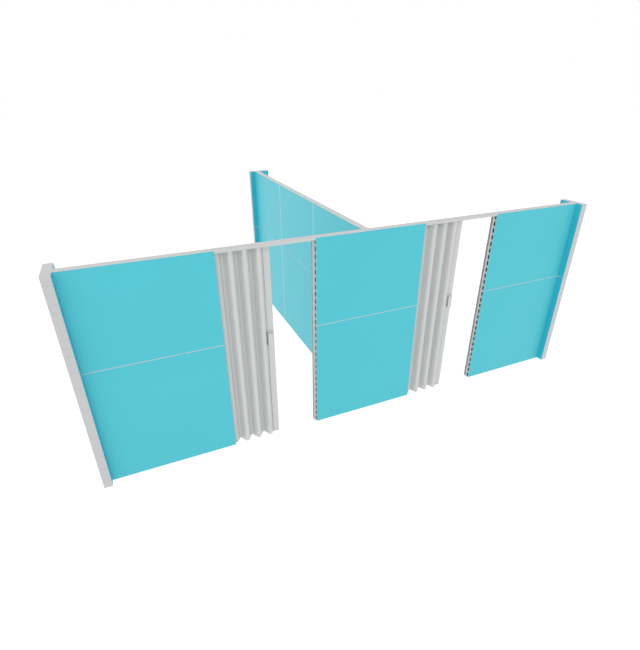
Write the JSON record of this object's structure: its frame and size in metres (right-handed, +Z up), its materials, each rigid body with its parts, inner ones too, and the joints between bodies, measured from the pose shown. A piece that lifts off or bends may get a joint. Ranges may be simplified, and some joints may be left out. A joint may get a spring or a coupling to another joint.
{
  "type": "partition wall",
  "caption": "T-shaped modular partition wall of two-module panels with end wings, slotted panel edges, and doorways closed by accordion doors that hang from header tracks.",
  "frame": {"origin": "on the floor, at the centre of the wall's footprint", "axes": "+Z up, +X along the main wall to the right as seen from its front, +Y towards the stem's far wing"},
  "size_m": [5.6388, 3.8576, 2.1336],
  "materials": {
    "blue_skin": "matte",
    "frame_plastic": "matte",
    "white_trim": "matte",
    "door_vinyl": "matte",
    "post_vinyl": "satin",
    "handle_plastic": "satin",
    "nylon": "satin",
    "aluminium": "satin",
    "dark_plastic": "matte",
    "steel": "satin",
    "magnet_strip": "matte",
    "honeycomb_core": "matte"
  },
  "bodies": {
    "wall": {"panel_1_frame": "frame_plastic", "panel_1_skins": "blue_skin", "panel_2_frame": "frame_plastic", "panel_2_skins": "blue_skin", "panel_3_frame": "frame_plastic", "panel_3_skins": "blue_skin", "stem_1_frame": "frame_plastic", "stem_1_skins": "blue_skin", "stem_2_frame": "frame_plastic", "stem_2_skins": "blue_skin", "stem_3_frame": "frame_plastic", "stem_3_skins": "blue_skin", "wing_left_frame": "frame_plastic", "wing_left_skins": "blue_skin", "wing_right_frame": "frame_plastic", "wing_right_skins": "blue_skin", "wing_stem_frame": "frame_plastic", "wing_stem_skins": "blue_skin", "panel_cores": "honeycomb_core", "wing_cores": "honeycomb_core", "top_caps": "white_trim", "wing_edge_covers": "white_trim", "connector_clips": "dark_plastic", "stacking_pins": "steel", "jamb_screws": "steel", "strike_magnets": "magnet_strip", "header_1": "white_trim", "track_1": "aluminium", "fixed_jamb_1": "white_trim", "strike_channel_1": "white_trim", "header_2": "white_trim", "track_2": "aluminium", "fixed_jamb_2": "white_trim", "strike_channel_2": "white_trim"},
    "door_1_leaf_1": {"door_1_vane_1": "door_vinyl"},
    "door_1_leaf_2": {"door_1_vane_2": "door_vinyl", "door_1_hanger_2": "nylon"},
    "door_1_leaf_3": {"door_1_vane_3": "door_vinyl"},
    "door_1_leaf_4": {"door_1_vane_4": "door_vinyl", "door_1_hanger_4": "nylon"},
    "door_1_leaf_5": {"door_1_vane_5": "door_vinyl"},
    "door_1_leaf_6": {"door_1_vane_6": "door_vinyl", "door_1_hanger_6": "nylon"},
    "door_1_leaf_7": {"door_1_vane_7": "door_vinyl"},
    "door_1_post": {"door_1_lead_post": "post_vinyl", "door_1_post_glides": "nylon", "door_1_handles": "handle_plastic"},
    "door_2_leaf_1": {"door_2_vane_1": "door_vinyl"},
    "door_2_leaf_2": {"door_2_vane_2": "door_vinyl", "door_2_hanger_2": "nylon"},
    "door_2_leaf_3": {"door_2_vane_3": "door_vinyl"},
    "door_2_leaf_4": {"door_2_vane_4": "door_vinyl", "door_2_hanger_4": "nylon"},
    "door_2_leaf_5": {"door_2_vane_5": "door_vinyl"},
    "door_2_leaf_6": {"door_2_vane_6": "door_vinyl", "door_2_hanger_6": "nylon"},
    "door_2_leaf_7": {"door_2_vane_7": "door_vinyl"},
    "door_2_post": {"door_2_lead_post": "post_vinyl", "door_2_post_glides": "nylon", "door_2_handles": "handle_plastic"}
  },
  "joints": [
    {"name": "door_1_fold", "type": "hinge", "parent": "wall", "child": "door_1_leaf_1", "pos_m": [-1.4967, -1.81451, 0], "axis": [0, 0, 1], "range_deg": [-53.42, 9.58]},
    {"name": "door_1_hinge_2", "type": "hinge", "parent": "door_1_leaf_1", "child": "door_1_leaf_2", "pos_m": [-1.46494, -1.75372, 0], "axis": [0, 0, 1], "range_deg": [-19.17, 106.85]},
    {"name": "door_1_hinge_3", "type": "hinge", "parent": "door_1_leaf_2", "child": "door_1_leaf_3", "pos_m": [-1.40145, -1.8753, 0], "axis": [0, 0, 1], "range_deg": [-106.85, 19.17]},
    {"name": "door_1_hinge_4", "type": "hinge", "parent": "door_1_leaf_3", "child": "door_1_leaf_4", "pos_m": [-1.33794, -1.75372, 0], "axis": [0, 0, 1], "range_deg": [-19.17, 106.85]},
    {"name": "door_1_hinge_5", "type": "hinge", "parent": "door_1_leaf_4", "child": "door_1_leaf_5", "pos_m": [-1.27445, -1.8753, 0], "axis": [0, 0, 1], "range_deg": [-106.85, 19.17]},
    {"name": "door_1_hinge_6", "type": "hinge", "parent": "door_1_leaf_5", "child": "door_1_leaf_6", "pos_m": [-1.21094, -1.75372, 0], "axis": [0, 0, 1], "range_deg": [-19.17, 106.85]},
    {"name": "door_1_hinge_7", "type": "hinge", "parent": "door_1_leaf_6", "child": "door_1_leaf_7", "pos_m": [-1.14745, -1.8753, 0], "axis": [0, 0, 1], "range_deg": [-106.85, 19.17]},
    {"name": "door_1_hinge_8", "type": "hinge", "parent": "door_1_leaf_7", "child": "door_1_post", "pos_m": [-1.1157, -1.81451, 0], "axis": [0, 0, 1], "range_deg": [-9.59, 53.43]},
    {"name": "door_2_fold", "type": "hinge", "parent": "wall", "child": "door_2_leaf_1", "pos_m": [0.64167, -1.81451, 0], "axis": [0, 0, 1], "range_deg": [-53.42, 9.58]},
    {"name": "door_2_hinge_2", "type": "hinge", "parent": "door_2_leaf_1", "child": "door_2_leaf_2", "pos_m": [0.67342, -1.75372, 0], "axis": [0, 0, 1], "range_deg": [-19.17, 106.85]},
    {"name": "door_2_hinge_3", "type": "hinge", "parent": "door_2_leaf_2", "child": "door_2_leaf_3", "pos_m": [0.73692, -1.8753, 0], "axis": [0, 0, 1], "range_deg": [-106.85, 19.17]},
    {"name": "door_2_hinge_4", "type": "hinge", "parent": "door_2_leaf_3", "child": "door_2_leaf_4", "pos_m": [0.80042, -1.75372, 0], "axis": [0, 0, 1], "range_deg": [-19.17, 106.85]},
    {"name": "door_2_hinge_5", "type": "hinge", "parent": "door_2_leaf_4", "child": "door_2_leaf_5", "pos_m": [0.86392, -1.8753, 0], "axis": [0, 0, 1], "range_deg": [-106.85, 19.17]},
    {"name": "door_2_hinge_6", "type": "hinge", "parent": "door_2_leaf_5", "child": "door_2_leaf_6", "pos_m": [0.92742, -1.75372, 0], "axis": [0, 0, 1], "range_deg": [-19.17, 106.85]},
    {"name": "door_2_hinge_7", "type": "hinge", "parent": "door_2_leaf_6", "child": "door_2_leaf_7", "pos_m": [0.99092, -1.8753, 0], "axis": [0, 0, 1], "range_deg": [-106.85, 19.17]},
    {"name": "door_2_hinge_8", "type": "hinge", "parent": "door_2_leaf_7", "child": "door_2_post", "pos_m": [1.02267, -1.81451, 0], "axis": [0, 0, 1], "range_deg": [-9.59, 53.43]}
  ],
  "couplings": [
    {"joint": "door_1_hinge_2", "follows": "door_1_fold", "ratio": -2},
    {"joint": "door_1_hinge_3", "follows": "door_1_fold", "ratio": 2},
    {"joint": "door_1_hinge_4", "follows": "door_1_fold", "ratio": -2},
    {"joint": "door_1_hinge_5", "follows": "door_1_fold", "ratio": 2},
    {"joint": "door_1_hinge_6", "follows": "door_1_fold", "ratio": -2},
    {"joint": "door_1_hinge_7", "follows": "door_1_fold", "ratio": 2},
    {"joint": "door_1_hinge_8", "follows": "door_1_fold", "ratio": -1},
    {"joint": "door_2_hinge_2", "follows": "door_2_fold", "ratio": -2},
    {"joint": "door_2_hinge_3", "follows": "door_2_fold", "ratio": 2},
    {"joint": "door_2_hinge_4", "follows": "door_2_fold", "ratio": -2},
    {"joint": "door_2_hinge_5", "follows": "door_2_fold", "ratio": 2},
    {"joint": "door_2_hinge_6", "follows": "door_2_fold", "ratio": -2},
    {"joint": "door_2_hinge_7", "follows": "door_2_fold", "ratio": 2},
    {"joint": "door_2_hinge_8", "follows": "door_2_fold", "ratio": -1}
  ]
}
